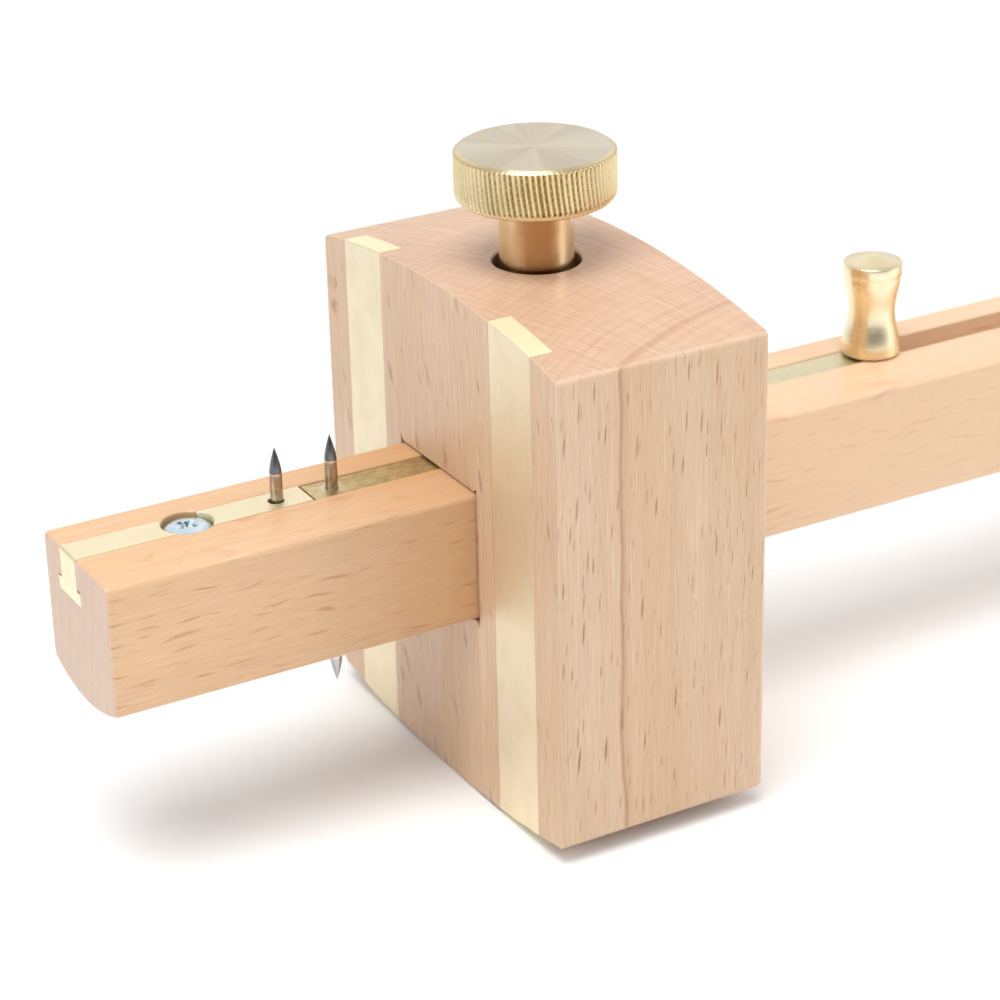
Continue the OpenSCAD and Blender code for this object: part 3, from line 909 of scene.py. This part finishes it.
def build_inlay_screw():
    seat, head_r, edge, crown = 7.21, 3.12, 1.45, 0.80
    profile = [(0, -4.79), (0.2, -4.79), (1.08, -2.6)]
    profile += ridges(1.08, 1.5, start=-2.5, pitch=1.1, count=6, offsets=(0.06, 0.48, 0.60, 1.04))
    profile += [(1.15, seat - 0.6), (1.15, seat), (head_r - 0.25, seat),
                (head_r - 0.06, seat + 0.06), (head_r, seat + 0.25), (head_r, seat + edge)]
    for i in range(1, 14):
        angle = math.pi / 2 * i / 14
        profile.append((head_r * math.cos(angle) ** 0.60, seat + edge + crown * math.sin(angle)))
    profile.append((0, seat + edge + crown))
    screw = lathe("inlay_screw_cross", profile, 96, INLAY_SCREW_AXIS)

    def wing(degrees):
        """A tapered bar of the cross recess: narrower and shorter at its floor."""
        angle = math.radians(degrees)
        cosine, sine = math.cos(angle), math.sin(angle)
        centre_x, centre_y = INLAY_SCREW_AXIS
        loops = []
        # half width, half length, height
        for w, l, z in ((0.18, 0.7, seat + 1.35), (0.40, 1.6, seat + 2.5)):
            loops.append([(centre_x + cosine * p - sine * q, centre_y + sine * p + cosine * q, z)
                          for p, q in ((-l, -w), (l, -w), (l, w), (-l, w))])
        return loft("c_wing", loops)

    middle = [(0, seat + 1.0), (0.35, seat + 1.2), (0.95, seat + 2.5), (0, seat + 2.5)]
    cut(screw, wing(38), wing(128), lathe("c_centre", middle, 32, INLAY_SCREW_AXIS))
    finish_part(screw, ZINC, "stem_body", "inlay_screw", angle=35)


build_pin("fixed_pin", FIXED_STEEL, FIXED_PIN_AXIS, "stem_body")
build_pin("moving_pin", MOVING_STEEL, MOVING_PIN_AXIS, "slide_body")
build_pin("marking_pin", MARKING_STEEL, MARKING_PIN_AXIS, "stem_body", points_up=False)
build_inlay_screw()


# ------------------------------------------------------ thumbscrew and knob
def build_thumbscrew():
    low, high = mm_box("thumbscrew")
    top, head_height, teeth = high.z, 6.6, 90
    head = top - head_height
    depths = [draws.uniform(0.78, 1.12) for _ in range(teeth)]
    leans = [draws.uniform(-0.10, 0.10) for _ in range(teeth)]

    def knurl(angle, r, z):
        """Cuts uneven teeth into the rim; they lean a little towards its lower edge."""
        height = (z - head) / (top - head)
        if height < 0.03 or r < 9.0:
            return r
        sweep = 0.075 * max(0.0, 1 - height) ** 1.4
        turn = teeth * (angle - sweep) / (2 * math.pi)
        nearest = math.floor(turn + 0.5)
        tooth = int(nearest) % teeth
        offset = turn - nearest + leans[tooth] * (height - 0.5) * 0.6
        crest = 0.5 + 0.5 * math.cos(2 * math.pi * offset)
        fade_in = min(1.0, max(0.0, (height - 0.03) / 0.10))
        fade_out = min(1.0, max(0.0, (0.945 - height) / 0.05))
        return r - 0.36 * depths[tooth] * (1 - crest ** 0.75) * (fade_in * fade_out)

    profile = [(0, low.z), (1.6, low.z), (2.0, 12.25), (3.1, 12.26), (3.3, 13.05)]
    profile += ridges(3.3, 4.0, start=13.05, pitch=1.25, count=12,
                      offsets=(0.08, 0.55, 0.70, 1.17))
    # the plain shank, then the head's underside
    profile += [(3.3, 29.6), (4.25, 29.6), (4.75, 30.1), (4.75, 36.0), (4.75, head - 0.35),
                (4.85, head - 0.10), (5.1, head), (6.5, head), (8.2, head), (9.25, head)]
    for i in range(1, 9):
        angle = math.pi / 2 * i / 8
        profile.append((9.25 + 0.9 * math.sin(angle), head + 0.9 - 0.9 * math.cos(angle)))
    profile += [(THUMB_R, head + 1.0 + (head_height - 1.45 - 0.05) * i / 22) for i in range(23)]
    # the top edge as (distance in from the rim, drop), then the faced end as (r, drop)
    edge = [(0.06, 0.42), (0.14, 0.36), (0.62, 0.05), (0.72, 0.01), (0.85, 0.0)]
    face = [(8.0, 0.01), (6.0, 0.02), (4.0, 0.03), (2.0, 0.04), (0.8, 0.05), (0.3, 0.08),
            (0, 0.09)]
    profile += [(THUMB_R - inward, top - drop) for inward, drop in edge]
    profile += [(r, top - drop) for r, drop in face]
    screw = lathe("thumbscrew_turned", profile, teeth * 8, THUMB_AXIS, knurl)
    finish_part(screw, THUMB_BRASS, "screw_body", "thumbscrew", angle=24)


def build_knob():
    low, high = mm_box("pull_knob")
    radius, waist = 4.05, 3.22
    base, top = STEM_TOP + 0.12, high.z
    profile = [(0, low.z), (1.6, low.z), (1.75, low.z + 0.2), (1.75, base), (3.6, base),
               (3.9, base + 0.08), (radius, base + 0.25), (radius, base + 0.95),
               (radius - 0.02, base + 1.2)]
    waist_low, waist_high = base + 1.25, top - 3.0
    for i in range(1, 30):
        t = i / 30
        lip = 0.13 * max(0.0, 2 * t - 1) ** 2
        hollow = (radius - 0.03 - waist) * math.sin(math.pi * t) ** 1.6
        profile.append((radius - 0.03 - lip - hollow, waist_low + (waist_high - waist_low) * t))
    # the head as (r, drop from the top)
    head = [(radius - 0.16, 2.96), (radius - 0.15, 2.82), (radius - 0.03, 2.76), (radius, 2.7),
            (radius, 1.25), (radius - 0.04, 1.12), (radius - 0.16, 1.02), (3.0, 0.78),
            (1.9, 0.46), (1.0, 0.16), (0.55, 0.03), (0.25, 0.01), (0, 0.0)]
    profile += [(r, top - drop) for r, drop in head]
    knob = lathe("pull_knob_turned", profile, 160, KNOB_AXIS)
    finish_part(knob, KNOB_BRASS, "slide_body", "pull_knob", angle=28)


build_thumbscrew()
build_knob()

# the bush and the pad stay as the CAD made them, deep in their hole
for node in ("thread_bush", "thrust_pad"):
    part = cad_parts[node]
    for material_slot in part.material_slots:
        material_slot.material = INNER_BRASS
    bevel = part.modifiers.new("edge", "BEVEL")
    bevel.width, bevel.segments, bevel.limit_method = 0.00006, 2, "ANGLE"


# --------------------------------------------------------- floor, light, camera
def build_floor():
    look = Look("pale_floor", (0.91, 0.935, 0.955))
    look.paint((0.935, 0.96, 0.98), look.point.noise(scale=0.004, detail=3.0, rough=0.5))
    material = look.finish(Roughness=0.65, Specular_IOR_Level=0.25)
    half, z = 6000, STOCK_BOTTOM
    corners = [(-half, -half, z), (half, -half, z), (half, half, z), (-half, half, z)]
    floor = mesh_object("floor", corners, [(0, 1, 2, 3)])
    floor.data.transform(Matrix.Scale(1 / MM, 4))
    floor.data.materials.append(material)


def build_world():
    """A studio that grows brighter upwards, dimmer behind the camera and brighter opposite."""
    strength = 0.62
    towards_camera = (-0.485, -0.874, 0.0)
    world = bpy.data.worlds.new("studio")
    scene.world = world
    world.use_nodes = True
    tree = world.node_tree
    tree.nodes.clear()
    output = tree.nodes.new("ShaderNodeOutputWorld")
    background = tree.nodes.new("ShaderNodeBackground")
    tree.links.new(background.outputs[0], output.inputs[0])
    places = tree.nodes.new("ShaderNodeTexCoord")
    direction = Field(tree, places.outputs["Generated"])
    sky = add_node(tree, "ShaderNodeValToRGB", {0: direction.split()[2]})
    stops = sky.color_ramp.elements
    stops[0].position, stops[0].color = 0.0, (0.62, 0.62, 0.63, 1)
    stops[1].position, stops[1].color = 1.0, (1.0, 1.0, 1.0, 1)
    stops.new(0.35).color = (0.80, 0.80, 0.82, 1)
    facing = direction.vector("DOT_PRODUCT", towards_camera, output="Value")
    dimmer = facing.rise(0.30, 0.80, low=1.0, high=0.14)
    brighter = facing.rise(-0.9, -0.2, low=2.0, high=1.0)
    plug(background.inputs[0], Field(tree, sky.outputs[0]))
    plug(background.inputs[1], dimmer * brighter * strength)


def area(name, at, target, size, power, colour):
    """A square area light aimed at a target."""
    light = bpy.data.lights.new(name, "AREA")
    light.shape = "RECTANGLE"
    light.size, light.size_y = size, size
    light.energy, light.color = power, colour
    lamp = bpy.data.objects.new(name, light)
    scene.collection.objects.link(lamp)
    lamp.location = at
    lamp.rotation_mode = "QUATERNION"
    lamp.rotation_quaternion = (Vector(target) - Vector(at)).to_track_quat("-Z", "Y")


def build_camera():
    camera = bpy.data.cameras.new("camera")
    camera.sensor_width, camera.lens = 36.0, 107.21
    camera.clip_start, camera.clip_end = 0.01, 30.0
    focus = bpy.data.objects.new("focus_point", None)
    scene.collection.objects.link(focus)
    focus.location = (0.0, -0.030, 0.0)
    camera.dof.use_dof = True
    camera.dof.focus_object = focus
    camera.dof.aperture_fstop = 45.0
    holder = bpy.data.objects.new("camera", camera)
    scene.collection.objects.link(holder)
    right = Vector((0.8692140716, -0.4939445779, -0.0220375073))
    up = Vector((0.2259545218, 0.3571867736, 0.9062903303))
    back = Vector((-0.4397856885, -0.7927397825, 0.4220807807))
    turn = Matrix((right, up, back)).transposed().to_4x4()
    holder.matrix_world = Matrix.Translation((-0.160134, -0.304668, 0.165129)) @ turn
    scene.camera = holder


build_floor()
build_world()
area("key_above", at=(-0.26, -0.24, 1.05), target=(0.02, 0, 0), size=0.70, power=9.6,
     colour=(1.0, 0.99, 0.975))
area("side_left", at=(-0.9, -0.20, 0.40), target=(0, 0, 0), size=0.6, power=2.1,
     colour=(0.85, 0.93, 1.0))
area("side_right", at=(0.85, -0.58, 0.40), target=(0.07, 0, 0), size=0.5, power=4.2,
     colour=(1.0, 0.98, 0.95))
build_camera()
scene.view_settings.view_transform = "Standard"
scene.view_settings.look = "None"
